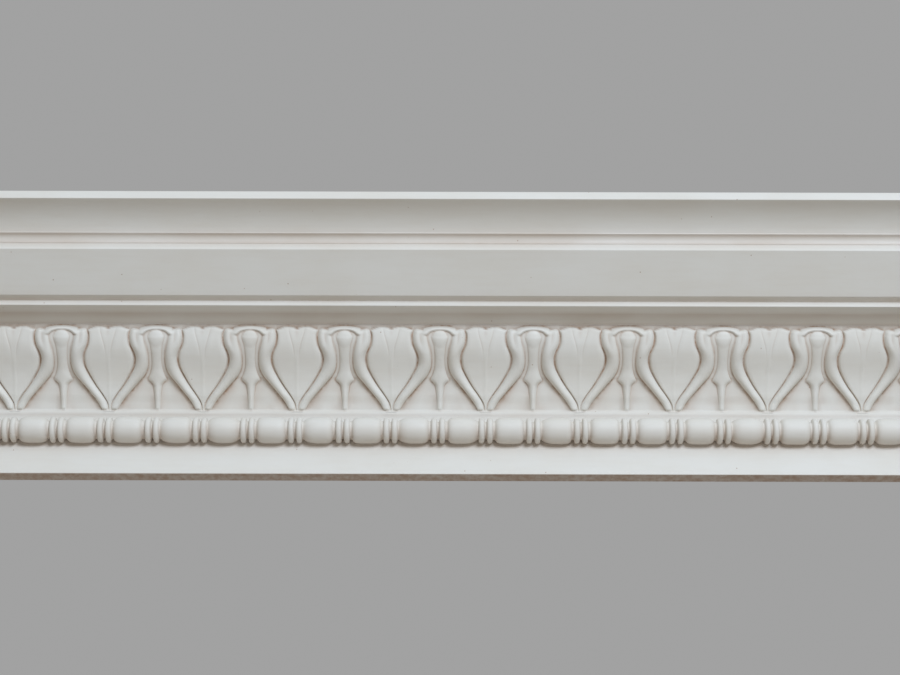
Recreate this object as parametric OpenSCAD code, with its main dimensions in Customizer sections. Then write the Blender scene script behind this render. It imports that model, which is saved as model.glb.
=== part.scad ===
// Plaster cornice moulding, cast in one piece: plain cavettos and fillets under the ceiling line,
// a cyma reversa carved with water leaves and darts, a bead and reel, and a plain band on the wall.
// Millimetres. X runs along the wall, +Z is up, the moulding faces -Y and its back lies on the
// wall plane y = 0. The origin is the middle of the strip that is stuck to the wall.

/* [Overall] */
// Width of one leaf-and-dart repeat, leaf tip to leaf tip
leaf_pitch = 50; // [42:1:60]
// Number of repeats, so that each end is cut through the middle of a dart
repeats = 10; // [4:1:12]
// How far the moulding reaches out along the ceiling
projection = 102; // [94:0.5:130]
// How far the moulding reaches down the wall
drop = 111.5; // [103:0.5:150]

/* [Back of the casting] */
// Width of the strip that is fixed to the ceiling
ceiling_strip = 45; // [30:1:48]
// Least height of the strip that is fixed to the wall, which always backs the beads and the fillet
wall_strip = 45; // [40:1:48]

/* [Plain members, from the ceiling down] */
// Height of the top fillet
top_fillet = 5.3; // [3:0.1:8]
// Radius of the large cavetto
large_cavetto_r = 30.5; // [26:0.5:36]
// How far the large cavetto turns, in degrees
large_cavetto_turn = 38; // [30:1:42]
// Height of the sharp edge between the two cavettos
edge_step = 0.5; // [0.3:0.1:1.5]
// Radius of the small quarter-round cavetto
small_cavetto_r = 3.7; // [2:0.1:6]
// Height of the fillet above the sloping band
upper_fillet = 4.4; // [2:0.1:6]
// Drop of the sloping band, whose run takes up what is left of the projection
sloping_band_drop = 13.8; // [8:0.1:18]
// Width of the soffit under the sloping band
first_soffit = 4.2; // [2:0.1:6]
// Height of the fillet between the two soffits
middle_fillet = 3.3; // [2:0.1:6]
// Width of the second soffit
second_soffit = 6.3; // [3:0.1:8]
// Width of the sunk quirk behind the second soffit
quirk_w = 3.1; // [1:0.1:4]
// Depth of the quirk
quirk_depth = 0.9; // [0.4:0.1:2]
// Radius of the cove over the leaves
cove_r = 18; // [14:0.5:26]

/* [Leaf and dart] */
// How far the leaf band slopes back towards the wall
leaf_run = 32.5; // [28:0.1:38]
// Height of the leaf band
leaf_drop = 32; // [28:0.1:38]
// How far the top of the leaf band stands in front of the cove
leaf_ledge = 0.7; // [0.4:0.1:2]
// Swell of the upper, convex part of the wave under the leaves
wave_swell = 1.6; // [0.5:0.1:2.5]
// Hollow of the lower, concave part of the wave
wave_hollow = 2.4; // [1:0.1:3]
// Height of the leaf blade over its ground
blade_h = 2.2; // [1:0.1:3]
// Height of the rounded ribs on both sides of the leaf
rib_h = 3.8; // [2:0.1:5]
// Height of the dart over the ground
dart_h = 3.4; // [2:0.1:5]
// Height of the loop that joins two ribs over the head of the dart
loop_h = 3.2; // [2:0.1:4]

/* [Bead and reel] */
// Height of the plain fillet between the leaves and the beads
bead_fillet = 13; // [10:0.1:18]
// Diameter of the beads
bead_d = 14; // [10:0.1:16]
// Length of a bead
bead_w = 14.8; // [12:0.1:16]
// Radius of the rounded ends of a bead
bead_end_r = 4.6; // [3:0.1:4.8]
// Diameter of the reels
reel_d = 13.6; // [9:0.1:15]
// Thickness of one disc of a reel
reel_w = 3.2; // [2:0.1:3.3]
// Gap between the two discs of a reel
reel_gap = 1.1; // [0.6:0.1:1.8]
// Diameter of the core between beads and discs
neck_d = 9.8; // [7:0.1:12]
// How far the bead axis lies in front of the wall band
bead_forward = 5; // [3:0.1:6]
// Drop of the bead axis below the bottom of the leaf band
bead_below = 16.6; // [14:0.1:20]

/* [Wall band] */
// How far the plain band at the bottom stands off the wall
wall_band = 6.4; // [5:0.1:10]

/* [Hidden] */
$fn = 48;
plaster = [0.86, 0.85, 0.82];
length = leaf_pitch * repeats;

// Corners of the section as [distance from the wall, depth below the ceiling]
cavetto_edge = [projection - large_cavetto_r * sin(large_cavetto_turn),
                top_fillet + large_cavetto_r * (1 - cos(large_cavetto_turn))];
step_edge = cavetto_edge + [0, edge_step];
upper_top = step_edge + [-small_cavetto_r, small_cavetto_r];
slope_top = upper_top + [0, upper_fillet];
// The cove runs on behind the leaves, whose tops stand this far below its start
cove_sweep = 35;
leaf_top_in_cove = 1.2;
cove_run = sqrt(pow(cove_r, 2) - pow(cove_r - leaf_top_in_cove, 2));
// The fillet under the leaves stands this far in front of the wall band
fillet_stand = 0.5;
leaf_foot_p = wall_band + fillet_stand;
leaf_top_p = leaf_foot_p + leaf_run;
cove_start_p = leaf_top_p - leaf_ledge + cove_run;
slope_bottom = [cove_start_p + quirk_w + second_soffit + first_soffit,
                slope_top[1] + sloping_band_drop];
middle_top = slope_bottom + [-first_soffit, 0];
middle_bottom = middle_top + [0, middle_fillet];
quirk_edge = middle_bottom + [-second_soffit, 0];
cove_start = [cove_start_p, quirk_edge[1] - quirk_depth];
leaf_top = [leaf_top_p, cove_start[1] + leaf_top_in_cove];
leaf_foot = leaf_top + [-leaf_run, leaf_drop];
fillet_foot = leaf_foot + [0, bead_fillet];
// The plain section runs behind the carving, this deep under its chord, from one share of its
// height to another, and comes forward again this far above the foot of the fillet
seat_depth = 4.5;
seat_from = 0.14;
seat_to = 0.97;
seat_rise = 3;
bead_axis = [wall_band + bead_forward, leaf_foot[1] + bead_below];
// The strip on the wall starts no lower than this far above the foot of the leaves
strip_cover = 3;
strip_top = min(drop - wall_strip, leaf_foot[1] - strip_cover);
ceiling_z = (drop + strip_top) / 2;

// The wave under the leaves: v runs from 0 at the top to 1 at the foot
band_len = norm(leaf_foot - leaf_top);
band_out = [leaf_drop, leaf_run] / band_len;
swell_part = wave_swell / (wave_swell + wave_hollow);
function wave(v) = v < swell_part
    ? wave_swell * sin(180 * v / swell_part)
    : -wave_hollow * sin(180 * (v - swell_part) / (1 - swell_part));
function on_band(v, out) = leaf_top + v * (leaf_foot - leaf_top) + out * band_out;

// Outlines of the carving as [v, share of the half repeat], 0 on the leaf and 1 on the dart
rib_inner = [[0, 0.48], [0.12, 0.44], [0.25, 0.50], [0.38, 0.58], [0.55, 0.48], [0.75, 0.23],
             [0.9, 0.08], [1, 0.05]];
rib_outer = [[0, 0.76], [0.12, 0.79], [0.38, 0.87], [0.5, 0.85], [0.62, 0.72], [0.77, 0.47],
             [1, 0.15]];
dart_half = [[0, 0.18], [0.12, 0.19], [0.22, 0.16], [0.38, 0.11], [0.5, 0.13], [0.62, 0.21],
             [0.72, 0.14], [0.88, 0.08], [1, 0.06]];
// Heights of the carving as [v, share of the full height]
blade_rise = [[0, 0], [0.015, 0.7], [0.05, 1], [0.6, 0.95], [0.9, 0.6], [1, 0]];
rib_rise = [[0, 0], [0.015, 0.2], [0.045, 0.8], [0.4, 1], [0.7, 0.85], [0.9, 0.6], [1, 0]];
rib_split = [[0, 0], [0.08, 0.4], [0.2, 0.3], [0.34, 0], [1, 0]];
dart_rise = [[0, 0], [0.08, 0.2], [0.13, 1], [0.25, 0.72], [0.5, 0.6], [0.62, 0.7], [0.85, 0.45],
             [1, 0]];
loop_rise = [[0, 0], [0.015, 0.6], [0.045, 1], [0.085, 0.2], [0.1, 0], [1, 0]];

function section_of(v, keys, i = 0) =
    i >= len(keys) - 2 || v < keys[i + 1][0] ? i : section_of(v, keys, i + 1);
// A smooth value between the keys, by a cubic through neighbouring keys
function slope_at(keys, i) =
    let (a = max(i - 1, 0), b = min(i + 1, len(keys) - 1))
    (keys[b][1] - keys[a][1]) / (keys[b][0] - keys[a][0]);
function smooth(v, keys) =
    let (i = section_of(v, keys),
         step = keys[i + 1][0] - keys[i][0],
         t = (v - keys[i][0]) / step,
         rise = keys[i + 1][1] - keys[i][1],
         s0 = slope_at(keys, i) * step,
         s1 = slope_at(keys, i + 1) * step)
    keys[i][1] + s0 * t + (3 * rise - 2 * s0 - s1) * t * t + (s0 + s1 - 2 * rise) * t * t * t;

// Eleven lines of points follow each half repeat, from the middle of the leaf to that of the dart:
// blade, groove, rib, ground and dart. Each line has a place and a height for every row.
ground_w = 0.012;
groove_start = 0.86;
// Shares of the full height at the edges of the blade, in the groove and on the shoulders
blade_edge = 0.9;
groove_level = 0.25;
rib_shoulder = 0.85;
dart_shoulder = 0.8;
function line_places(v) =
    let (inner = smooth(v, rib_inner),
         outer = smooth(v, rib_outer),
         quarter = (outer - inner) / 4,
         dart = max(1 - smooth(v, dart_half), outer + ground_w))
    [0, inner / 2, inner * groove_start, inner, inner + quarter, inner + 2 * quarter,
     outer - quarter, outer, dart, (1 + dart) / 2, 1];
function line_heights(v) =
    let (blade = blade_h * lookup(v, blade_rise),
         rib = rib_h * lookup(v, rib_rise),
         dart = dart_h * lookup(v, dart_rise),
         loop = loop_h * lookup(v, loop_rise))
    [blade_edge * blade, blade, blade_edge * blade, groove_level * blade, rib_shoulder * rib,
     rib * (1 - lookup(v, rib_split)), max(rib_shoulder * rib, loop), loop, loop,
     max(dart_shoulder * dart, loop), max(dart, loop)];

// Rows crowd together at the top, where the loops and the leaf tops are
leaf_rows = 16;
row_crowding = 1.5;
row_v = [for (r = [0:leaf_rows]) pow(r / leaf_rows, row_crowding)];
places = [for (v = row_v) line_places(v)];
heights = [for (v = row_v) line_heights(v)];
half_lines = len(places[0]) - 1;
cols = 2 * half_lines * repeats;
// The carving and the plain section run past the cut ends by different amounts, then are cut flush
carving_overrun = 2;
section_overrun = 1;
function line_of(c) = abs(c % (2 * half_lines) - half_lines);
function place_of(c, r) =
    let (k = c % (2 * half_lines) - half_lines)
    c == 0 ? -length / 2 - carving_overrun
    : c == cols ? length / 2 + carving_overrun
    : (floor(c / (2 * half_lines)) + 0.5 + sign(k) * places[r][abs(k)] / 2) * leaf_pitch
      - length / 2;
function solid_point(x, pd) = [x, -pd[0], -pd[1]];

// How far the solid behind the carving reaches into the shell: level with its foot, half way to
// the wall, and level with its top, by this much
foot_embed = leaf_foot_p / 2;
top_embed = 10;

// One ring of points round the band for each column, joined into a closed solid
module carved_band() {
    back = [leaf_foot + [-foot_embed, bead_fillet], leaf_foot + [-foot_embed, 0],
            leaf_top + [-top_embed, 0]];
    rings = [for (c = [0:cols]) concat(
        [for (r = [0:leaf_rows])
            solid_point(place_of(c, r),
                        on_band(row_v[r], wave(row_v[r]) + heights[r][line_of(c)]))],
        [for (pd = concat([fillet_foot], back)) solid_point(place_of(c, leaf_rows), pd)])];
    n = len(rings[0]);
    sides = [for (c = [0:cols - 1], r = [0:n - 1])
        let (k = c * n + r, s = c * n + (r + 1) % n)
        c % (2 * half_lines) < half_lines
            ? [each [[k, s + n, s], [k, k + n, s + n]]]
            : [each [[k, k + n, s], [s, k + n, s + n]]]];
    first_end = [for (r = [0:n - 1]) r];
    last_end = [for (r = [n - 1:-1:0]) cols * n + r];
    polyhedron([for (ring = rings) each ring],
               concat([for (pair = sides) each pair], [first_end, last_end]), convexity = 10);
}

// Points of a hollow that leaves its start level with the ceiling and turns down towards the wall
function hollow(start, r, turn, steps) = [
    for (k = [1:steps]) start + r * [-sin(turn * k / steps), 1 - cos(turn * k / steps)]
];

module section() {
    rotate(180)
        polygon([
            [projection - ceiling_strip, 0], [projection, 0], [projection, top_fillet],
            each hollow([projection, top_fillet], large_cavetto_r, large_cavetto_turn, 16),
            step_edge, each hollow(step_edge, small_cavetto_r, 90, 8),
            slope_top, slope_bottom, middle_top, middle_bottom,
            quirk_edge, [quirk_edge[0], cove_start[1]],
            cove_start, each hollow(cove_start, cove_r, cove_sweep, 12),
            on_band(seat_from, -seat_depth), on_band(seat_to, -seat_depth),
            [wall_band, fillet_foot[1] - seat_rise],
            [wall_band, drop], [0, drop], [0, strip_top]
        ]);
}

// Half outline of a disc or barrel with rounded edges, centred on the x axis
module turned(d, w, edge_r) {
    difference() {
        union() {
            translate([-w / 2 + edge_r, 0])
                square([w - 2 * edge_r, d / 2]);
            translate([-w / 2, 0])
                square([w, d / 2 - edge_r]);
            for (side = [-1, 1])
                translate([side * (w / 2 - edge_r), d / 2 - edge_r])
                    circle(edge_r);
        }
        translate([-w, -d])
            square([2 * w, d]);
    }
}

module bead_string() {
    translate([0, -bead_axis[0], -bead_axis[1]])
        rotate([0, 90, 0])
            rotate_extrude()
                rotate(90)
                    mirror([0, 1])
                        bead_outline();
}

module bead_outline() {
    // The edges of a disc are rounded over most of its thickness
    reel_edge_r = 0.4 * reel_w;
    translate([-length / 2 - section_overrun / 2, 0])
        square([length + section_overrun, neck_d / 2]);
    for (i = [0:2 * repeats - 1])
        translate([(i + 0.5) * leaf_pitch / 2 - length / 2, 0]) {
            turned(bead_d, bead_w, bead_end_r);
            for (side = [-1, 1])
                translate([side * (leaf_pitch / 4 - (reel_gap + reel_w) / 2), 0])
                    turned(reel_d, reel_w, reel_edge_r);
        }
}

// The pieces are drawn downwards from the ceiling, then lifted to the origin on the wall strip
module cornice_moulding() {
    color(plaster)
        translate([0, 0, ceiling_z])
            intersection() {
                union() {
                    rotate([90, 0, 90])
                        linear_extrude(height = length + 2 * section_overrun, center = true)
                            section();
                    carved_band();
                    bead_string();
                }
                cube([length, 3 * projection, 3 * drop], center = true);
            }
}

cornice_moulding();
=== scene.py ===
"""Plaster cornice moulding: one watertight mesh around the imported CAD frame, with its plaster finish.

The section is drawn in millimetres as (p, d): p is the distance out from the wall and d the depth
below the ceiling. Plain members run along a sparse grid of columns. The leaf band and the bead
string run along a dense grid, whose columns bend to follow the edges of the carving.
"""
import math

import bpy
import numpy as np
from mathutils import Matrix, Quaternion, Vector

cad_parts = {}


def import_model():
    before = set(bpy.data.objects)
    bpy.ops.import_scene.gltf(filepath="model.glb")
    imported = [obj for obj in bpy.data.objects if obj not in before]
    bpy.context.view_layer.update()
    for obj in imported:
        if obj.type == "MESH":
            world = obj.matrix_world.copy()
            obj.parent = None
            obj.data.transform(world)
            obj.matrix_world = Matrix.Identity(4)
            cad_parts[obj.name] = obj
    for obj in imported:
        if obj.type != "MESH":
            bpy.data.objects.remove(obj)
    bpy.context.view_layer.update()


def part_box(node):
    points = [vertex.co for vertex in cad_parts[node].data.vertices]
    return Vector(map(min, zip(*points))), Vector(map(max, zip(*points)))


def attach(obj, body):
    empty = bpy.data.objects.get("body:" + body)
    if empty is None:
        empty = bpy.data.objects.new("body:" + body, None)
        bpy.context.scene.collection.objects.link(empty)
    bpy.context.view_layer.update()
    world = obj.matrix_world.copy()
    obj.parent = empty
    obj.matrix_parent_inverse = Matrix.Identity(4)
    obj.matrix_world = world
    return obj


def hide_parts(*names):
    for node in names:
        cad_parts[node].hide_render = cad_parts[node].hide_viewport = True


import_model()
NODE = "cornice_moulding"
MM = 0.001
rng = np.random.default_rng(11)

# ---------------------------------------------------------------- sizes, in millimetres
low, high = [np.array(corner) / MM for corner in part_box(NODE)]
LENGTH = float(high[0] - low[0])
PROJECTION = float(-low[1])
CEILING_Z = float(high[2])
DROP = float(high[2] - low[2])
REPEATS = 10
PITCH = LENGTH / REPEATS
HALF = PITCH / 2

# Plain members, from the ceiling down
CEILING_STRIP = 45.0
WALL_STRIP = 45.0
TOP_FILLET = 5.3
LARGE_CAVETTO_R = 30.5
LARGE_CAVETTO_TURN = math.radians(38)
EDGE_STEP = 0.5
SMALL_CAVETTO_R = 3.7
UPPER_FILLET = 4.4
SLOPING_BAND_DROP = 13.8
FIRST_SOFFIT = 4.2
MIDDLE_FILLET = 3.3
SECOND_SOFFIT = 6.3
QUIRK_W = 3.1
QUIRK_DEPTH = 0.9
COVE_R = 18.0

# Leaf band, with the height of each part of its carving
LEAF_TOP_IN_COVE = 1.2
LEAF_RUN = 32.5
LEAF_DROP = 33.3
LEAF_LEDGE = 0.7
WAVE_SWELL = 1.6
WAVE_HOLLOW = 2.4
BLADE_H = 2.2
RIB_H = 3.8
DART_H = 3.4

# Bead string and wall band
BEAD_R = 7.0
BEAD_W = 15.2
REEL_R = 6.8
REEL_W = 3.2
REEL_GAP = 1.1
NECK_R = 4.9
BEAD_END_R = 3.8
REEL_CORE_R = 4.4
BEAD_FORWARD = 5.0
BEAD_BELOW = 15.9
WALL_BAND = 6.4
BEAD_FILLET_PROUD = 0.5

# Corners of the section
cavetto_edge = (PROJECTION - LARGE_CAVETTO_R * math.sin(LARGE_CAVETTO_TURN),
                TOP_FILLET + LARGE_CAVETTO_R * (1 - math.cos(LARGE_CAVETTO_TURN)))
step_edge = (cavetto_edge[0], cavetto_edge[1] + EDGE_STEP)
upper_top = (step_edge[0] - SMALL_CAVETTO_R, step_edge[1] + SMALL_CAVETTO_R)
slope_top = (upper_top[0], upper_top[1] + UPPER_FILLET)
leaf_foot_p = WALL_BAND + BEAD_FILLET_PROUD
leaf_top_p = leaf_foot_p + LEAF_RUN
cove_run = math.sqrt(COVE_R ** 2 - (COVE_R - LEAF_TOP_IN_COVE) ** 2)
cove_start_p = leaf_top_p - LEAF_LEDGE + cove_run
slope_bottom = (cove_start_p + QUIRK_W + SECOND_SOFFIT + FIRST_SOFFIT,
                slope_top[1] + SLOPING_BAND_DROP)
middle_top = (slope_bottom[0] - FIRST_SOFFIT, slope_bottom[1])
middle_bottom = (middle_top[0], middle_top[1] + MIDDLE_FILLET)
quirk_edge = (middle_bottom[0] - SECOND_SOFFIT, middle_bottom[1])
cove_start = (cove_start_p, quirk_edge[1] - QUIRK_DEPTH)
leaf_top = np.array([leaf_top_p, cove_start[1] + LEAF_TOP_IN_COVE])
leaf_foot = leaf_top + (-LEAF_RUN, LEAF_DROP)
bead_axis = np.array([WALL_BAND + BEAD_FORWARD, leaf_foot[1] + BEAD_BELOW])


# ---------------------------------------------------------------- small helpers
def add_object(name, data):
    """A new object of the scene that holds the data."""
    obj = bpy.data.objects.new(name, data)
    bpy.context.scene.collection.objects.link(obj)
    return obj


def smoothstep(x):
    """0 up to x = 0, 1 from x = 1, and a smooth rise between."""
    x = np.clip(x, 0.0, 1.0)
    return x * x * (3 - 2 * x)


def bell(x):
    """1 at x = 0, falling smoothly to nothing about two widths away."""
    return np.exp(-x * x)


def keyed(v, keys):
    """A smooth value at v through (place, value) keys, by cubics that share slopes."""
    k = np.asarray(keys, float)
    places, values = k[:, 0], k[:, 1]
    before = np.maximum(np.arange(len(k)) - 1, 0)
    after = np.minimum(np.arange(len(k)) + 1, len(k) - 1)
    slopes = (values[after] - values[before]) / (places[after] - places[before])
    i = np.clip(np.searchsorted(places, v, side="right") - 1, 0, len(k) - 2)
    step = places[i + 1] - places[i]
    t = np.clip((v - places[i]) / step, 0, 1)
    rise = values[i + 1] - values[i]
    s0, s1 = slopes[i] * step, slopes[i + 1] * step
    return values[i] + s0 * t + (3 * rise - 2 * s0 - s1) * t ** 2 + (s0 + s1 - 2 * rise) * t ** 3


def noise(x, y, cell, seed):
    """Smooth value noise between -1 and 1 with features about cell millimetres across."""
    gx, gy = np.asarray(x, float) / cell, np.asarray(y, float) / cell
    ix, iy = np.floor(gx).astype(int), np.floor(gy).astype(int)
    fx, fy = smoothstep(gx - ix), smoothstep(gy - iy)
    table = np.random.default_rng(seed).uniform(-1, 1, 4096)

    def corner(a, b):
        return table[(a * 73856093 ^ b * 19349663) & 4095]
    top = corner(ix, iy) * (1 - fx) + corner(ix + 1, iy) * fx
    foot = corner(ix, iy + 1) * (1 - fx) + corner(ix + 1, iy + 1) * fx
    return top * (1 - fy) + foot * fy


# Distance from a rounding to the support point beside it
SUPPORT_AT = 0.25


def rounded(corners, gap=3.0):
    """Points along a run of straight lines whose corners are rounded to the radius each one states.

    Each corner is (p, d, radius). A support point stands beside each rounding, so that shading
    stays flat on the flats, and long lines are divided every gap millimetres.
    """
    pts = [np.array(c[:2], float) for c in corners]
    out = [pts[0]]
    for i in range(1, len(pts)):
        here = pts[i]
        r = corners[i][2] if i < len(pts) - 1 else 0
        if r:
            a = (pts[i - 1] - here) / np.linalg.norm(pts[i - 1] - here)
            b = (pts[i + 1] - here) / np.linalg.norm(pts[i + 1] - here)
            half = math.acos(float(np.clip(a @ b, -1, 1))) / 2
            reach = r / math.tan(half)
            centre = here + (a + b) / np.linalg.norm(a + b) * r / math.sin(half)
            start, end = here + a * reach, here + b * reach
            arc = [start, (start + end) / 2, end]
            arc[1] = centre + (arc[1] - centre) / np.linalg.norm(arc[1] - centre) * r
            stops = [here + a * (reach + SUPPORT_AT)] + arc + [here + b * (reach + SUPPORT_AT)]
        else:
            stops = [here]
        span = np.linalg.norm(stops[0] - out[-1])
        parts = max(1, int(round(span / gap)))
        out += [out[-1] + (stops[0] - out[-1]) * k / parts for k in range(1, parts + 1)]
        out += stops[1:]
    return out


def arc_points(start, r, turn, n):
    """Points of a hollow that leaves start level with the ceiling and turns down about r below."""
    return [np.array([start[0] - r * math.sin(a), start[1] + r * (1 - math.cos(a))])
            for a in np.linspace(0, turn, n + 1)]


# ---------------------------------------------------------------- plain members (sparse rows)
def upper_rows():
    """The members between the ceiling and the cove over the leaves."""
    top = rounded([(PROJECTION - CEILING_STRIP, 0, 0), (PROJECTION, 0, 0.35),
                   (PROJECTION, TOP_FILLET - 0.2, 0)], gap=12)
    lip = [np.array([PROJECTION - 0.08, TOP_FILLET - 0.05])]
    large = arc_points((PROJECTION - 0.3, TOP_FILLET), LARGE_CAVETTO_R, LARGE_CAVETTO_TURN, 12)
    large = [pt for pt in large if pt[0] > cavetto_edge[0] + 0.4]
    edge = [np.array([cavetto_edge[0] + 0.2, cavetto_edge[1] - 0.1]),
            np.array([cavetto_edge[0], cavetto_edge[1] + 0.12]),
            np.array([step_edge[0], step_edge[1] - 0.1])]
    small = arc_points((step_edge[0] - 0.12, step_edge[1]), SMALL_CAVETTO_R - 0.12, math.pi / 2, 7)
    plain = rounded([(upper_top[0], upper_top[1], 0), (upper_top[0] - 0.5, upper_top[1] + 0.1, 0.15),
                     (upper_top[0] - 0.1, upper_top[1] + 0.5, 0.15),
                     (*slope_top, 0.3), (*slope_bottom, 0.3), (*middle_top, 0.2),
                     (*middle_bottom, 0.3), (*quirk_edge, 0.25), (quirk_edge[0], cove_start[1], 0.2),
                     (cove_start[0], cove_start[1], 0)], gap=2.6)
    return top + lip + large + edge + small + plain[1:]


# Depths under the bead axis at which the wall band starts to be sparse, and of the last dense row
BAND_TOP = 7.6
LAST_DENSE_ROW = 6.5


def lower_rows():
    """The wall band, the underside, the wall strip and the sloping back of the shell."""
    band_top = bead_axis[1] + BAND_TOP
    return rounded([(WALL_BAND, band_top, 0), (WALL_BAND, DROP, 0.4), (0, DROP, 0.3),
                    (0, DROP - WALL_STRIP, 0.8), (PROJECTION - CEILING_STRIP, 0, 0)],
                   gap=3.2)[:-1]


# ---------------------------------------------------------------- the carving (dense rows)
# Columns over each part of a half repeat, from the middle of the leaf to the middle of the dart
MIDRIB_COLS, VEIN_COLS, BLADE_COLS, GROOVE_COLS = 2, 4, 4, 5
RIB_COLS, GROUND_COLS, DART_COLS = 12, 6, 7
HALF_COLS = (MIDRIB_COLS + VEIN_COLS + BLADE_COLS + GROOVE_COLS + RIB_COLS + GROUND_COLS
             + DART_COLS)
# Half width of the close columns along a vein, as a share of the half repeat
VEIN_BESIDE = 0.03
# The ground between a rib and a dart never gets narrower than this share
LEAST_GROUND = 0.012
COLS = 2 * REPEATS * HALF_COLS
# Dense columns to each sparse one
SPARSE_STEP = 8
# Rows down the leaf band: the share that is evenly spaced, and how fast the rest spread out
LEAF_ROWS = 70
EVEN_SHARE = 0.55
SPREAD_POWER = 1.6
# Close rows at the foot of the leaves, where the ground turns out on to the fillet
FOOT_FROM = 0.955
FOOT_ROWS = (0.968, 0.979, 0.986, 0.991, 0.9955, 1.0)
FILLET_FORWARD = 0.25
FOOT_HOLLOW = 0.7
# Rows of the fillet: how far down, how far the columns have moved to the bead's, how much boss is left
FILLET_ROWS = ((0.03, 0.0, 1.0), (0.17, 0.0, 1.0), (0.2, 0.0, 0.0), (0.55, 0.6, 0.0), (0.95, 1.0, 0.0))
band_len = float(np.linalg.norm(leaf_foot - leaf_top))
band_out = np.array([LEAF_DROP, LEAF_RUN]) / band_len

# Outlines as (share of the way down the band, share of the half repeat): the edges of the rib from
# the middle of the leaf, and the half width of the dart from its own middle
RIB_INNER = [(0, 0.47), (0.06, 0.453), (0.124, 0.428), (0.226, 0.453), (0.32, 0.528), (0.39, 0.553),
             (0.48, 0.526), (0.566, 0.453), (0.7, 0.304), (0.822, 0.14), (0.9, 0.055), (0.95, 0.03),
             (1, 0.026)]
RIB_OUTER = [(0, 0.74), (0.124, 0.762), (0.278, 0.815), (0.39, 0.833), (0.494, 0.815),
             (0.586, 0.744), (0.657, 0.634), (0.77, 0.453), (0.884, 0.280), (1, 0.15)]
DART_HALF = [(0, 0.14), (0.08, 0.165), (0.125, 0.178), (0.17, 0.165), (0.23, 0.128), (0.4, 0.104),
             (0.5, 0.12), (0.58, 0.165), (0.635, 0.212), (0.66, 0.19), (0.695, 0.13), (0.77, 0.1),
             (0.87, 0.075), (1, 0.052)]
# Heights down the band, as shares of the full height
RIB_RISE = [(0, 0.8), (0.1, 0.95), (0.4, 1), (0.7, 0.84), (0.88, 0.6), (0.97, 0.46), (1, 0.42)]
DART_RISE = [(0, 0.3), (0.04, 0.5), (0.12, 1), (0.22, 0.82), (0.5, 0.66), (0.6, 0.72),
             (0.85, 0.5), (1, 0.25)]
BLADE_RISE = [(0, 0.95), (0.05, 1), (0.6, 0.95), (0.85, 0.72), (1, 0.3)]
# Depth of the ground beside the dart, and width of the groove beside the blade, in millimetres
FIELD_HOLLOW = [(0, -2.3), (0.15, -2.1), (0.3, -1.4), (0.45, -0.9), (0.55, -0.4), (0.61, -0.1),
                (0.645, 1.0), (0.68, 2.3), (0.74, 2.0), (0.84, 1.1), (0.93, 0.4), (1, 0)]
GROOVE_W = [(0, 0.6), (0.1, 1.1), (0.25, 1.7), (0.4, 1.9), (0.6, 1.3), (0.8, 0.8), (1, 0.5)]


def wave(v):
    """The cyma reversa under the carving: a convex swell, then a concave hollow."""
    part = WAVE_SWELL / (WAVE_SWELL + WAVE_HOLLOW)
    return np.where(v < part, WAVE_SWELL * np.sin(np.pi * v / part),
                    -WAVE_HOLLOW * np.sin(np.pi * (v - part) / (1 - part)))


# The two veins of a leaf draw together down to VEIN_JOIN: shares of the half repeat and of the band
VEIN_FOOT, VEIN_SPREAD, VEIN_JOIN = 0.055, 0.12, 0.36
# Under this share of the half repeat, a narrowing leaf squeezes its veins
SQUEEZE_BELOW = 0.3


def vein_place(v):
    """Share of the half repeat at which the incised vein of a leaf runs."""
    return VEIN_FOOT + VEIN_SPREAD * (1 - smoothstep(v / VEIN_JOIN)) ** 1.2


def column_shares(v):
    """Where the 40 columns of a half repeat stand on each row: 0 on the leaf, 1 on the dart."""
    inner, outer = keyed(v, RIB_INNER), keyed(v, RIB_OUTER)
    dart = np.maximum(1 - keyed(v, DART_HALF), outer + LEAST_GROUND)
    squeeze = np.minimum(1, inner / SQUEEZE_BELOW)
    vein = vein_place(v) * squeeze
    beside = VEIN_BESIDE * squeeze
    groove = inner - np.minimum(keyed(v, GROOVE_W) / HALF, 0.4 * inner)
    stops = [(0 * v, MIDRIB_COLS), (vein - beside, VEIN_COLS), (vein + beside, BLADE_COLS),
             (groove, GROOVE_COLS), (inner, RIB_COLS), (outer, GROUND_COLS), (dart, DART_COLS)]
    ends = [start for start, n in stops[1:]] + [0 * v + 1]
    lines = [start + (end - start) * k / n for (start, n), end in zip(stops, ends) for k in range(n)]
    lines.append(0 * v + 1)
    return np.stack(lines, axis=1), inner, outer, dart


def hump(x):
    """A rounded ridge: 1 at x = 0, falling steeply to 0 at x = -1 and 1."""
    return np.clip(1 - x * x, 0, 1) ** 0.58


# Relief of the leaf blade in millimetres, and widths as shares of the half repeat
LOBE_DIP, LOBE_DIP_W = 1.0, 0.06
CENTRE_SINK, CENTRE_SINK_W = 0.45, 0.07
VEIN_DEPTH, VEIN_W = 0.3, 0.016
BETWEEN_VEINS = 0.16
MIDRIB_H, MIDRIB_W = 0.16, 0.035


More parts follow.
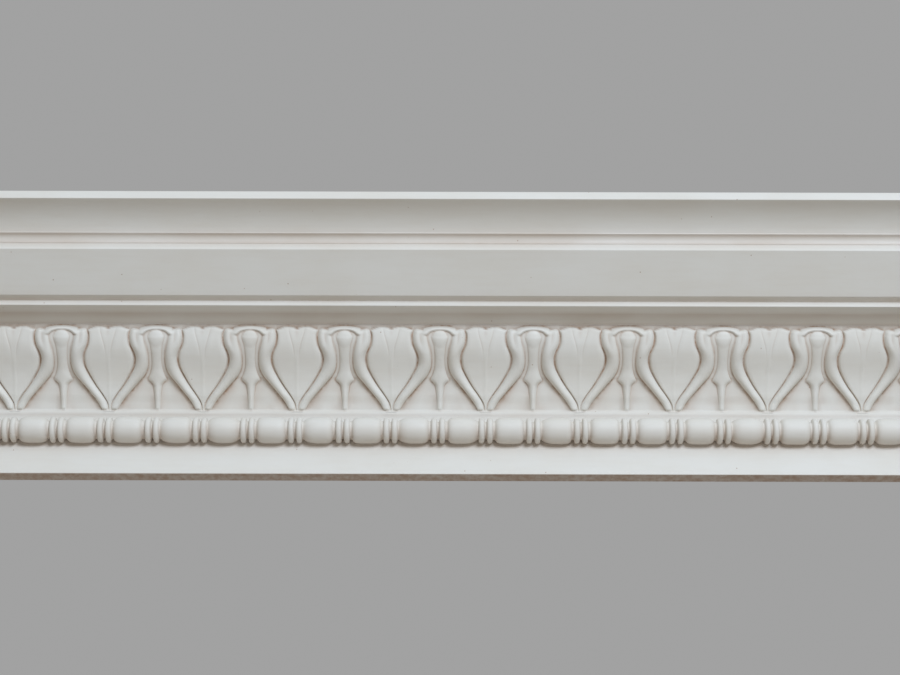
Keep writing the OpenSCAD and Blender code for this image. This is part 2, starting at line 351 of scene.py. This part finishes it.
def blade_height(u, v, inner):
    """The leaf blade: two lobes at the top, two incised veins and a faint midrib."""
    down = v * band_len
    top_edge = 0.6 + LOBE_DIP * bell(u / LOBE_DIP_W) + 1.5 * smoothstep((u - 0.24) / 0.2)
    blade = BLADE_H * keyed(v, BLADE_RISE) * smoothstep((down - top_edge) / 1.2)
    blade *= 1 - 0.14 * np.clip(u / inner, 0, 1) ** 2
    blade -= CENTRE_SINK * bell(u / CENTRE_SINK_W) * bell(down / 5)
    vein_fade = 1 - smoothstep((v - 0.22) / 0.2)
    beside = (u - vein_place(v) * np.minimum(1, inner / SQUEEZE_BELOW)) / VEIN_W
    blade -= VEIN_DEPTH * vein_fade * bell(beside)
    blade -= BETWEEN_VEINS * vein_fade * smoothstep(-beside / 2.5)
    midrib = smoothstep((v - 0.3) / 0.15) * (1 - smoothstep((v - 0.75) / 0.2))
    blade += MIDRIB_H * midrib * bell(u / MIDRIB_W)
    groove = 1 - (inner - u) * HALF / keyed(v, GROOVE_W)
    return blade * (1 - 0.9 * smoothstep(groove))


# Across a rib, 0 is the leaf side and 1 the dart side
RIB_TOP_AT = 0.26
VALLEY_AT, VALLEY_W, VALLEY_DEPTH = 0.5, 0.17, 0.26


def rib_height(s, v):
    """The rib at the side of a leaf: its top is rounded and parted in two by a shallow valley."""
    down = v * band_len
    joined = smoothstep((v - 0.14) / 0.2)
    valley = 1 - VALLEY_DEPTH * bell((s - VALLEY_AT) / VALLEY_W) * (1 - joined)
    drop_off = np.where(s < RIB_TOP_AT, 8.0, 2.0) * (s - RIB_TOP_AT) ** 2
    rounded_top = smoothstep((down - 1.5 - drop_off) / 1.8)
    return RIB_H * keyed(v, RIB_RISE) * hump(2 * s - 1) * (0.93 + 0.1 * s) * valley * rounded_top


# The arch that joins two ribs over the head of a dart, thin at its top and wide at its feet
ARCH_AT, ARCH_TOP, ARCH_REACH = 7.0, 1.9, 8.3
ARCH_HALF_W, ARCH_WIDENS = 1.4, 1.5
# 2 would make the arch an ellipse; a higher value squares its shoulders
ARCH_ROUND = 2.3
# Middle and radius of the round head of a dart, and where its stem starts
HEAD_AT, HEAD_R = 6.3, 3.9
STEM_FROM = 4.4


def arch_place(u, v):
    """Millimetres outside the line of the arch, and how far the place lies within it, 0 to 1."""
    across, above = (1 - u) * HALF, ARCH_AT - v * band_len
    bent = np.abs(across / ARCH_REACH) ** ARCH_ROUND + np.abs(above / (ARCH_AT - ARCH_TOP)) ** ARCH_ROUND
    rho = np.maximum(bent ** (1 / ARCH_ROUND), 0.05)
    within = np.where(above > 0, smoothstep((1.1 - rho) / 0.2), 1.0)
    return np.hypot(across, above) * (1 - 1 / rho), within


def arch_height(u, v):
    """The arch over the head of a dart, which fades into the ribs at its feet."""
    off, _ = arch_place(u, v)
    half_w = ARCH_HALF_W + ARCH_WIDENS * np.clip((1 - u) * HALF / ARCH_REACH, 0, 1) ** 2
    fade = smoothstep((ARCH_AT - v * band_len) / 2.5)
    return RIB_H * keyed(v, RIB_RISE) * np.clip(1 - (off / half_w) ** 2, 0, 1) ** 0.85 * fade


def field_height(u, v):
    """The ground beside the dart: raised under the arch, hollowed under the barbs."""
    level = -keyed(v, FIELD_HOLLOW)
    _, within = arch_place(u, v)
    return np.where(level > 0, level * within, level)


def dart_height(u, v, dart):
    """The dart: a round head, a stem that flares into two barbs, and a thin foot."""
    down = v * band_len
    field = field_height(u, v)
    d = np.clip((u - dart) / (1 - dart), 0, 1)
    stem = (DART_H * keyed(v, DART_RISE) - field) * (1 - (1 - d) ** 2) ** 0.6
    stem *= smoothstep((down - STEM_FROM) / 2.5)
    below = down - HEAD_AT
    below = np.where(below > 0, 0.62 * below, below)
    round_head = np.clip(1 - (np.hypot((1 - u) * HALF, below) / HEAD_R) ** 2, 0, 1) ** 0.6
    head = (DART_H * 1.02 - field) * round_head
    blend = 0.5 * np.clip(np.minimum(stem, head), 0, 1)
    return field + (stem + head + np.sqrt((stem - head) ** 2 + blend ** 2)) / 2 - blend / 4


# Lower than any part of the carving
NOWHERE = -9.0


def carving(u, v, inner, outer, dart):
    """Height of the carving over the wave, in millimetres, for half-repeat place u and row place v."""
    s = np.clip((u - inner) / (outer - inner), 0, 1)
    field = field_height(u, v)
    blade = np.where(u <= inner, blade_height(u, v, inner), NOWHERE)
    rib = np.maximum(rib_height(s, v), field * (s > 0.5))
    rib = np.where((u > inner) & (u < outer), rib, NOWHERE)
    ground = np.where(u >= outer, dart_height(u, v, dart), NOWHERE)
    carved = np.maximum(np.maximum(blade, rib), ground)
    return np.maximum(carved, arch_height(u, v)) * smoothstep(v / 0.012)


BOSS_H, BOSS_HALF_W, BOSS_EDGE = 0.12, 2.4, 1.6


def boss(x):
    """A low flat boss on the fillet under each leaf tip."""
    from_tip = np.abs((x + LENGTH / 2) % PITCH - HALF)
    return BOSS_H * (1 - smoothstep((from_tip - BOSS_HALF_W) / BOSS_EDGE))


# Small sideways slips of each dart and leaf tip in the carving
DART_LEAN = 0.5 + 0.3 * rng.uniform(-1, 1, REPEATS + 1)
TIP_LEAN = 0.3 * rng.uniform(-1, 1, REPEATS)
# How uneven the carving is: as a share of its height, and a ripple in millimetres, each with the
# size of its patches
UNEVEN_SHARE, UNEVEN_PATCH = 0.05, 19
RIPPLE_H, RIPPLE_PATCH = 0.07, 5


def leaf_rows():
    """Places of the dense grid over the leaf band: x, p, d arrays and the height of the carving."""
    r = np.arange(LEAF_ROWS - len(FOOT_ROWS) + 1) / (LEAF_ROWS - len(FOOT_ROWS))
    v = np.append((EVEN_SHARE * r + (1 - EVEN_SHARE) * r ** SPREAD_POWER) * FOOT_FROM, FOOT_ROWS)
    shares, inner, outer, dart = column_shares(v)
    n = len(v)
    x = np.zeros((n, COLS + 1))
    h = np.zeros((n, COLS + 1))
    for c in range(COLS + 1):
        rep, k = divmod(c, 2 * HALF_COLS)
        side = k - HALF_COLS
        u = shares[:, abs(side)]
        boundary = min(max(rep + (side > 0), 0), REPEATS)
        lean = DART_LEAN[boundary] * smoothstep(u) * (0 < boundary < REPEATS)
        x[:, c] = (rep + 0.5) * PITCH + np.sign(side) * u * HALF - LENGTH / 2 + lean
        x[:, c] += TIP_LEAN[min(rep, REPEATS - 1)] * (1 - smoothstep(u)) * v
        uneven = UNEVEN_SHARE * noise(x[:, c], v * band_len, UNEVEN_PATCH, seed=3)
        ripple = RIPPLE_H * noise(x[:, c], v * band_len, RIPPLE_PATCH, seed=4) * smoothstep(v / 0.05)
        h[:, c] = carving(u, v, inner, outer, dart) * (1 + uneven) + ripple
    # The last rows climb to the front of the fillet
    vv = np.repeat(v[:, None], COLS + 1, axis=1)
    h *= 1 - smoothstep((vv - 0.966) / 0.03)
    ledge = smoothstep((vv - 0.981) / 0.01)
    hollow = -FOOT_HOLLOW * smoothstep((vv - 0.8) / 0.12) * (1 - ledge)
    upright = ((vv - 1) * LEAF_RUN + FILLET_FORWARD) / band_out[0]
    out = wave(vv) + hollow + h + (upright - wave(vv) + boss(x)) * ledge
    p = leaf_top[0] - vv * LEAF_RUN + out * band_out[0]
    d = leaf_top[1] + vv * LEAF_DROP + out * band_out[1]
    return x, p, d, h


def bead_columns():
    """x of the 40 columns of one bead period, from the middle of one reel pair to the next."""
    edge = REEL_GAP / 2
    neck = HALF / 2 - BEAD_W / 2 - REEL_W - edge
    stops = [(edge, 1), (REEL_W, 8), (neck, 2), (BEAD_W, 18), (neck, 2), (REEL_W, 8), (edge, 1)]
    xs, at = [], 0.0
    for width, n in stops:
        for k in range(n):
            t = k / n
            eased = (1 - math.cos(math.pi * t)) / 2 if n > 2 else t
            xs.append(at + width * (0.35 * t + 0.65 * eased))
        at += width
    return np.array(xs + [at])


def turned_radius(x, half_w, squareness, r, core):
    """Radius of a barrel that rounds down to its core: the higher the squareness, the boxier."""
    reach = np.clip(np.abs(x) / half_w, 0, 1)
    return core + (r - core) * (1 - reach ** squareness) ** (1 / squareness)


# How the hand-made beads and discs vary: millimetres, and the share of bead ends that are pointed
CENTRE_SLIP = 0.12
WIDTH_SLIP = 0.25
BEAD_SQUARENESS = (2.9, 3.6)
POINTED_SHARE = 0.12
POINTED_EXTRA = 0.9
POINTED_SQUARENESS = 2.1
DISC_SQUARENESS = 2.6
DISC_SLIP = (-0.12, 0.1)
# Half width of the deep groove between two discs, as a share of their gap
GROOVE_SHARE = 0.3


def bead_radius(xs):
    """Outer radius of the bead string at x from one end of the moulding."""
    r = np.full_like(xs, NECK_R)
    for i in range(2 * REPEATS):
        centre = (i + 0.5) * HALF + rng.uniform(-CENTRE_SLIP, CENTRE_SLIP)
        for side in (-1, 1):
            wide = BEAD_W / 2 + rng.uniform(-WIDTH_SLIP, WIDTH_SLIP)
            squareness = rng.uniform(*BEAD_SQUARENESS)
            if rng.random() < POINTED_SHARE:
                wide, squareness = BEAD_W / 2 + POINTED_EXTRA, POINTED_SQUARENESS
            half_bead = (xs - centre) * side >= 0
            shape = turned_radius(xs - centre, wide, squareness, BEAD_R, BEAD_END_R)
            r = np.maximum(r, np.where(half_bead, shape, 0))
        for side in (-1, 1):
            disc = (i + 0.5) * HALF + side * (HALF / 2 - (REEL_GAP + REEL_W) / 2)
            disc_r = REEL_R + rng.uniform(*DISC_SLIP)
            r = np.maximum(r, turned_radius(xs - disc, REEL_W / 2, DISC_SQUARENESS, disc_r, NECK_R))
    from_gap = np.abs((xs + HALF / 2) % HALF - HALF / 2)
    return np.where(from_gap < GROOVE_SHARE * REEL_GAP, np.minimum(r, REEL_CORE_R), r)


BEAD_ARC_ROWS = 20
# Height of the row that keeps the wall band's shading apart from the beads'
ROW_UNDER_BEADS = 0.3


def bead_rows():
    """Dense rows down the fillet, round the bead string and on to the wall band."""
    one = bead_columns()
    xs = np.concatenate([one[:-1] + k * HALF for k in range(2 * REPEATS)] + [[LENGTH]])
    r = bead_radius(xs)
    back = leaf_foot_p - bead_axis[0]
    meet = np.arccos(np.clip(back / r, -1, 1))
    first = bead_axis[1] - r * np.sin(meet)
    fillet_len = first.min() - leaf_foot[1]
    rows = []
    for down, _, boss_left in FILLET_ROWS:
        rows.append((np.full_like(xs, leaf_foot_p + FILLET_FORWARD * (boss_left > 0)),
                     np.full_like(xs, leaf_foot[1] + fillet_len * down)))
    back_low = WALL_BAND - bead_axis[0]
    meet_low = np.arccos(np.clip(back_low / r, -1, 1))
    for t in np.linspace(0, 1, BEAD_ARC_ROWS + 1):
        angle = -meet + (meet + meet_low) * t
        rows.append((bead_axis[0] + r * np.cos(angle), bead_axis[1] + r * np.sin(angle)))
    under_beads = rows[-1][1] + ROW_UNDER_BEADS
    rows.append((np.full_like(xs, WALL_BAND), under_beads))
    rows.append((np.full_like(xs, WALL_BAND), np.full_like(xs, bead_axis[1] + LAST_DENSE_ROW)))
    return xs - LENGTH / 2, rows


# ---------------------------------------------------------------- painted shade in the recesses
# Inner corners of the section: (p, d), how dark the painted shade is there and how far it reaches
SHADE_CORNERS = [
    (upper_top[0], upper_top[1] - 0.3, 0.45, 1.8),
    (step_edge[0] - 1.0, step_edge[1] + 0.2, 0.4, 2.2),
    (middle_top[0] + 1.0, middle_top[1], 0.4, 1.6),
    (quirk_edge[0], cove_start[1], 0.45, 1.4),
    (cove_start[0], cove_start[1], 0.25, 2.5),
    (leaf_top[0] - 0.2, leaf_top[1] - 0.4, 0.62, 0.9),
    (leaf_foot_p, leaf_foot[1] + 2.6, 0.45, 1.3),
    (WALL_BAND, bead_axis[1] + BEAD_R - 0.5, 0.4, 3.4),
]
# How much darker the back is made, with the same mix as the painted shade
BACK_DARKENING = 0.35
# Painted shade over the underside, brown as under warm bounce light
UNDERSIDE_SHADE = 0.8
# How far under its surroundings, in millimetres, a wide or a fine groove gets the full painted shade
WIDE_GROOVE, FINE_GROOVE = 1.1, 0.3


def corner_shade(p, d):
    """Painted shade near the inner corners of the section and over the underside, and darkening over the
    back.
    """
    total = np.zeros(len(p))
    for at_p, at_d, strength, reach in SHADE_CORNERS:
        total += strength * np.exp(-np.hypot(p - at_p, d - at_d) / reach)
    underside = (d > DROP - 0.25) & (p < WALL_BAND - 0.2)
    return total + BACK_DARKENING * (p < 0.2) + UNDERSIDE_SHADE * underside


def blurred(grid, passes):
    """The grid with each value mixed with its neighbours, passes times over."""
    for _ in range(passes):
        grid = np.pad(grid, 1, mode="edge")
        grid = (grid[:-2] + 2 * grid[1:-1] + grid[2:]) / 4
        grid = (grid[:, :-2] + 2 * grid[:, 1:-1] + grid[:, 2:]) / 4
    return grid


def leaf_shade(h):
    """Painted shade in the grooves of the carving, from how far the surface lies under its blurred self.

    The hollow ground under the barbs gets painted shade too.
    """
    down = np.linspace(0, 1, len(h))[:, None]
    wide = np.clip((blurred(h, 10) - h) / WIDE_GROOVE, 0, 1) ** 0.8
    fine = np.clip((blurred(h, 2) - h) / FINE_GROOVE, 0, 1) * smoothstep(down / 0.12)
    field = np.clip(-h / 2.2, 0, 1) ** 0.8 * (down > 0.5)
    return 0.85 * wide + 0.3 * fine + 0.85 * field


def bead_shade(p, d):
    """Painted shade between the beads and discs, and on their undersides."""
    reach = np.hypot(p - bead_axis[0], d - bead_axis[1])
    low = np.clip((REEL_R - reach) / (REEL_R - REEL_CORE_R), 0, 1)
    below = smoothstep((d - bead_axis[1] + 1.5) / 6)
    on_string = np.abs(reach - BEAD_R) < 3
    return np.where(on_string, 0.5 * low * (0.35 + 0.65 * below) + 0.08 * below, 0)


# ---------------------------------------------------------------- building the mesh
COVE_ROWS = 6
COVE_FIRST_ROW = 0.12


def level_rows(points, xs):
    """The rings of plain members: each (p, d) point repeated along xs."""
    return [(xs, np.full(len(xs), p), np.full(len(xs), d)) for p, d in points]


def cove_rows(even_x, leaf_x):
    """The cove over the leaves, whose columns move from even places to those of the leaf band."""
    hidden_turn = math.acos((COVE_R - LEAF_TOP_IN_COVE) / COVE_R)
    rings = []
    for i, angle in enumerate(np.linspace(COVE_FIRST_ROW, 1.0, COVE_ROWS) * hidden_turn):
        mix = smoothstep(i / COVE_ROWS)
        x = even_x * (1 - mix) + leaf_x * mix
        p = cove_start[0] - COVE_R * math.sin(angle)
        d = cove_start[1] + COVE_R * (1 - math.cos(angle))
        rings += level_rows([(p, d)], x)
    return rings


def string_rows(even_x, leaf_x):
    """The rings of the fillet, the bead string and the top of the wall band."""
    bead_x, rows = bead_rows()
    rings = []
    for i, (p, d) in enumerate(rows):
        x = bead_x
        if i < len(FILLET_ROWS):
            _, mix, boss_left = FILLET_ROWS[i]
            x = leaf_x * (1 - mix) + bead_x * mix
            p = p + boss_left * boss(x)
        elif i == len(rows) - 1:
            x = (even_x + bead_x) / 2
        rings.append((x, p, d))
    return rings


def all_rings():
    """Every ring along the moulding, from the ceiling strip round to the back, with its painted shade."""
    sparse_x = np.linspace(-LENGTH / 2, LENGTH / 2, COLS // SPARSE_STEP + 1)
    even_x = np.linspace(-LENGTH / 2, LENGTH / 2, COLS + 1)
    leaf_x, leaf_p, leaf_d, relief = leaf_rows()
    above = level_rows(upper_rows(), sparse_x) + cove_rows(even_x, leaf_x[0])
    carved = list(zip(leaf_x, leaf_p, leaf_d))
    string = string_rows(even_x, leaf_x[-1])
    rings = above + carved + string + level_rows(lower_rows(), sparse_x)
    # Painted shade at each vertex: in the corners, over the underside, in the grooves and round the beads
    painted_shade = [corner_shade(p, d) for x, p, d in rings]
    for i, row in enumerate(leaf_shade(relief), len(above)):
        painted_shade[i] += row
    for i, (x, p, d) in enumerate(string, len(above) + len(carved)):
        painted_shade[i] += bead_shade(p, d)
    return rings, np.clip(np.concatenate(painted_shade), 0, 1)


def fan(sparse, dense, cells):
    """Triangles between a sparse ring and a dense one, given their first vertices."""
    faces = []
    middle = SPARSE_STEP // 2
    for cell in range(cells):
        start, end, first = sparse + cell, sparse + cell + 1, dense + cell * SPARSE_STEP
        faces += [(start, first + k, first + k + 1) for k in range(middle)]
        faces.append((start, first + middle, end))
        faces += [(end, first + k, first + k + 1) for k in range(middle, SPARSE_STEP)]
    return faces


def between(a, b, count_a, count_b):
    """The faces between two rings, given their first vertices and how many each has."""
    if count_a == count_b:
        return [(a + c, b + c, b + c + 1, a + c + 1) for c in range(count_a - 1)]
    if count_a < count_b:
        return fan(a, b, count_a - 1)
    return [face[::-1] for face in fan(b, a, count_b - 1)]


def build_mesh():
    """Vertices, faces, the vertices round each end, and the painted shade at each vertex."""
    rings, painted_shade = all_rings()
    verts = np.concatenate([np.stack([x, -p, CEILING_Z - d], axis=1) for x, p, d in rings])
    counts = [len(x) for x, p, d in rings]
    left = [0] + np.cumsum(counts)[:-1].tolist()
    right = [start + count - 1 for start, count in zip(left, counts)]
    faces = []
    for i in range(len(rings)):
        j = (i + 1) % len(rings)
        faces += between(left[i], left[j], counts[i], counts[j])
    faces += [tuple(left[::-1]), tuple(right)]
    return verts, faces, left, right, painted_shade


def rough_face(polygon):
    """1 on the faces that are hidden when the length is fixed: the back, both strips and the ends."""
    return float(polygon.normal.y > 0.3 or polygon.normal.z > 0.9 or abs(polygon.normal.x) > 0.99)


def plaster_mesh():
    """The moulding as one closed object, with sharp ends and its painted shade and rough faces marked."""
    verts, faces, left, right, painted_shade = build_mesh()
    mesh = bpy.data.meshes.new("cornice_plaster")
    mesh.from_pydata((verts * MM).tolist(), [], faces)
    mesh.update()
    obj = add_object("cornice_plaster", mesh)
    mesh.shade_smooth()
    cap_edges = {tuple(sorted(pair)) for ring in (left, right)
                 for pair in zip(ring, ring[1:] + ring[:1])}
    sharp = np.array([tuple(sorted(e.vertices)) in cap_edges for e in mesh.edges])
    mesh.attributes.new("sharp_edge", "BOOLEAN", "EDGE").data.foreach_set("value", sharp)
    for i in (len(faces) - 2, len(faces) - 1):
        mesh.polygons[i].use_smooth = False
    # The crevice attribute holds the painted shade, and the darkening over the back
    mesh.attributes.new("crevice", "FLOAT", "POINT").data.foreach_set("value", painted_shade.astype(np.float32))
    rough = [rough_face(polygon) for polygon in mesh.polygons]
    mesh.attributes.new("rough", "FLOAT", "FACE").data.foreach_set("value", rough)
    return obj


# ---------------------------------------------------------------- the plaster
PLASTER = (0.765, 0.74, 0.675, 1)
PLASTER_WARM = (0.73, 0.69, 0.61, 1)
PLASTER_BACK = (0.60, 0.555, 0.49, 1)
# Brown of the painted shade in the recesses and the pinholes, also used to darken the back
SHADE_BROWN = (0.40, 0.255, 0.165, 1)
# How much of the plaster's colour the painted shade hides, in the recesses and in the pinholes
SHADE_COVER = 0.8
PINHOLE_COVER = 0.75
# Painted shade below this amount lies smooth; what is above it is packed in ragged lines
SMOOTH_SHADE = 0.45
# Share of the cells of the pinhole pattern that stay empty
EMPTY_CELLS = 0.6
BUMP_DEPTH = 0.00012
LUMP_HEIGHT = 9.0


def add_node(tree, kind, **sockets):
    """A new node with the named inputs set; an underscore stands for a space."""
    node = tree.nodes.new(kind)
    for name, value in sockets.items():
        node.inputs[name.replace("_", " ")].default_value = value
    return node


def scaled_noise(tree, place, stretch, scale, detail, roughness=0.5):
    """A noise texture over the object; a stretch under 1 draws it out along the moulding."""
    mapping = add_node(tree, "ShaderNodeMapping", Scale=(stretch, 1, 1))
    texture = add_node(tree, "ShaderNodeTexNoise", Scale=scale, Detail=detail, Roughness=roughness)
    tree.links.new(place, mapping.inputs["Vector"])
    tree.links.new(mapping.outputs["Vector"], texture.inputs["Vector"])
    return texture.outputs["Fac"]


def ranged(tree, value, given, wanted):
    """The value moved from the given (low, high) range to the wanted one."""
    node = add_node(tree, "ShaderNodeMapRange", From_Min=given[0], From_Max=given[1],
                    To_Min=wanted[0], To_Max=wanted[1])
    tree.links.new(value, node.inputs["Value"])
    return node.outputs["Result"]


def maths(tree, operation, a, b):
    """A Math node; a and b are numbers or sockets."""
    node = tree.nodes.new("ShaderNodeMath")
    node.operation = operation
    for socket, value in zip(node.inputs, (a, b)):
        if isinstance(value, (int, float)):
            socket.default_value = value
        else:
            tree.links.new(value, socket)
    return node.outputs[0]


def mixed(tree, factor, a, b):
    """A mix of two colours, each a colour or a socket."""
    node = tree.nodes.new("ShaderNodeMix")
    node.data_type = "RGBA"
    tree.links.new(factor, node.inputs["Factor"])
    for socket, value in ((node.inputs["A"], a), (node.inputs["B"], b)):
        if isinstance(value, tuple):
            socket.default_value = value
        else:
            tree.links.new(value, socket)
    return node.outputs["Result"]


def mesh_value(tree, name):
    """A value stored on the mesh by plaster_mesh()."""
    node = tree.nodes.new("ShaderNodeAttribute")
    node.attribute_name = name
    return node.outputs["Fac"]


def shade_amount(tree, place, blotches):
    """Painted shade: thin and smooth near the corners, packed in ragged lines down in the grooves."""
    crevice = mesh_value(tree, "crevice")
    ragged = scaled_noise(tree, place, stretch=1, scale=330, detail=3, roughness=0.65)
    soft = maths(tree, "MINIMUM", crevice, SMOOTH_SHADE)
    packed = maths(tree, "MULTIPLY", maths(tree, "SUBTRACT", crevice, soft),
                   ranged(tree, ragged, (0.34, 0.66), (0.25, 1.7)))
    soft = maths(tree, "MULTIPLY", soft, ranged(tree, blotches, (0.3, 0.7), (0.8, 1.15)))
    return maths(tree, "ADD", soft, packed)


def pinholes(tree, place):
    """Small round air holes at scattered places: 1 in a hole and 0 outside it."""
    cells = add_node(tree, "ShaderNodeTexVoronoi", Scale=140)
    tree.links.new(place, cells.inputs["Vector"])
    chance = tree.nodes.new("ShaderNodeSeparateColor")
    tree.links.new(cells.outputs["Color"], chance.inputs["Color"])
    chosen = maths(tree, "GREATER_THAN", chance.outputs["Red"], EMPTY_CELLS)
    inside = ranged(tree, cells.outputs["Distance"], (0.03, 0.06), (1, 0))
    return maths(tree, "MULTIPLY", chosen, inside)


def plaster_material():
    """Matt cast plaster: warm blotches, brush marks, pinholes, painted shade in the recesses and a
    scraped back.
    """
    mat = bpy.data.materials.new("cast_plaster")
    mat.use_nodes = True
    tree = mat.node_tree
    shader = tree.nodes["Principled BSDF"]
    place = tree.nodes.new("ShaderNodeTexCoord").outputs["Object"]
    blotches = scaled_noise(tree, place, stretch=0.45, scale=42, detail=4, roughness=0.6)
    brush = scaled_noise(tree, place, stretch=0.12, scale=420, detail=3)
    grain = scaled_noise(tree, place, stretch=1, scale=1500, detail=2)
    scraped = scaled_noise(tree, place, stretch=0.3, scale=75, detail=5, roughness=0.6)
    lumps = scaled_noise(tree, place, stretch=0.5, scale=130, detail=6, roughness=0.62)
    rough = mesh_value(tree, "rough")
    painted_shade = shade_amount(tree, place, blotches)
    pit = pinholes(tree, place)

    warm = maths(tree, "ADD", ranged(tree, blotches, (0.38, 0.66), (0, 0.6)),
                 ranged(tree, brush, (0.45, 0.7), (0, 0.22)))
    base = mixed(tree, warm, PLASTER, PLASTER_WARM)
    # Painted shade in the recesses
    base = mixed(tree, maths(tree, "MULTIPLY", painted_shade, SHADE_COVER), base, SHADE_BROWN)
    # Painted shade in the pinholes: each hole is coloured dark
    base = mixed(tree, maths(tree, "MULTIPLY", pit, PINHOLE_COVER), base, SHADE_BROWN)
    back = maths(tree, "MULTIPLY", rough, ranged(tree, scraped, (0.35, 0.7), (0.25, 0.9)))
    base = mixed(tree, back, base, PLASTER_BACK)
    tree.links.new(base, shader.inputs["Base Color"])
    tree.links.new(ranged(tree, blotches, (0.3, 0.7), (0.52, 0.7)), shader.inputs["Roughness"])

    height = maths(tree, "ADD", maths(tree, "MULTIPLY", brush, 0.5), maths(tree, "MULTIPLY", grain, 0.3))
    height = maths(tree, "SUBTRACT", height, maths(tree, "MULTIPLY", pit, 1.5))
    back_lumps = maths(tree, "MULTIPLY", rough, maths(tree, "MULTIPLY", lumps, LUMP_HEIGHT))
    height = maths(tree, "ADD", height, back_lumps)
    bump = add_node(tree, "ShaderNodeBump", Strength=0.5, Distance=BUMP_DEPTH)
    tree.links.new(height, bump.inputs["Height"])
    tree.links.new(bump.outputs["Normal"], shader.inputs["Normal"])
    return mat


cornice = plaster_mesh()
cornice.data.materials.append(plaster_material())
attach(cornice, "root")
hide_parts(NODE)


# ---------------------------------------------------------------- stage, light and camera
# The camera looks up at the moulding from below, along +Y
ELEVATION = math.radians(40)
ROLL = math.radians(0.14)
VIEW_DISTANCE = 1.152
LOOK_AT = Vector((0.0061, -0.0475, 0.0357))
LENS, SENSOR_W = 88.1, 36

FLOOR_HALF, FLOOR_Z = 4.0, -1.2
FLOOR_COLOUR = (0.6, 0.58, 0.55, 1)
STUDIO_GREY = (0.36, 0.36, 0.36, 1)


def camera():
    """The scene's camera, with a slight roll."""
    cam = bpy.data.cameras.new("camera")
    cam.lens = LENS
    cam.sensor_width = SENSOR_W
    obj = add_object("camera", cam)
    back = Vector((0, -math.cos(ELEVATION), -math.sin(ELEVATION)))
    obj.location = LOOK_AT + back * VIEW_DISTANCE
    turn = (-back).to_track_quat("-Z", "Y") @ Quaternion((0, 0, 1), ROLL)
    obj.rotation_euler = turn.to_euler()
    bpy.context.scene.camera = obj


def area_light(name, towards, distance, size, power, colour):
    """A round light that stands towards the given direction and shines at the origin."""
    light = bpy.data.lights.new(name, "AREA")
    light.shape = "DISK"
    light.size = size
    light.energy = power
    light.color = colour
    obj = add_object(name, light)
    direction = Vector(towards).normalized()
    obj.location = direction * distance
    obj.rotation_euler = (-direction).to_track_quat("-Z", "Y").to_euler()


def floor():
    """A plain pale floor, well below the moulding."""
    mesh = bpy.data.meshes.new("floor")
    corners = [(x * FLOOR_HALF, y * FLOOR_HALF, FLOOR_Z) for x, y in ((-1, -1), (1, -1), (1, 1), (-1, 1))]
    mesh.from_pydata(corners, [], [(0, 1, 2, 3)])
    obj = add_object("floor", mesh)
    mat = bpy.data.materials.new("pale_floor")
    mat.use_nodes = True
    mat.node_tree.nodes["Principled BSDF"].inputs["Base Color"].default_value = FLOOR_COLOUR
    obj.data.materials.append(mat)


def world():
    """Even grey studio light from all sides."""
    studio = bpy.data.worlds.new("studio")
    studio.use_nodes = True
    background = studio.node_tree.nodes["Background"]
    background.inputs["Color"].default_value = STUDIO_GREY
    background.inputs["Strength"].default_value = 1.0
    bpy.context.scene.world = studio


camera()
world()
floor()
area_light("key", towards=(0.28, -1.0, 0.09), distance=2.5, size=1.0, power=39,
           colour=(0.88, 1.0, 1.17))
area_light("fill", towards=(0.0, -0.35, -1.0), distance=1.1, size=1.4, power=0.8,
           colour=(1.0, 0.7, 0.42))
bpy.context.scene.view_settings.view_transform = "Standard"
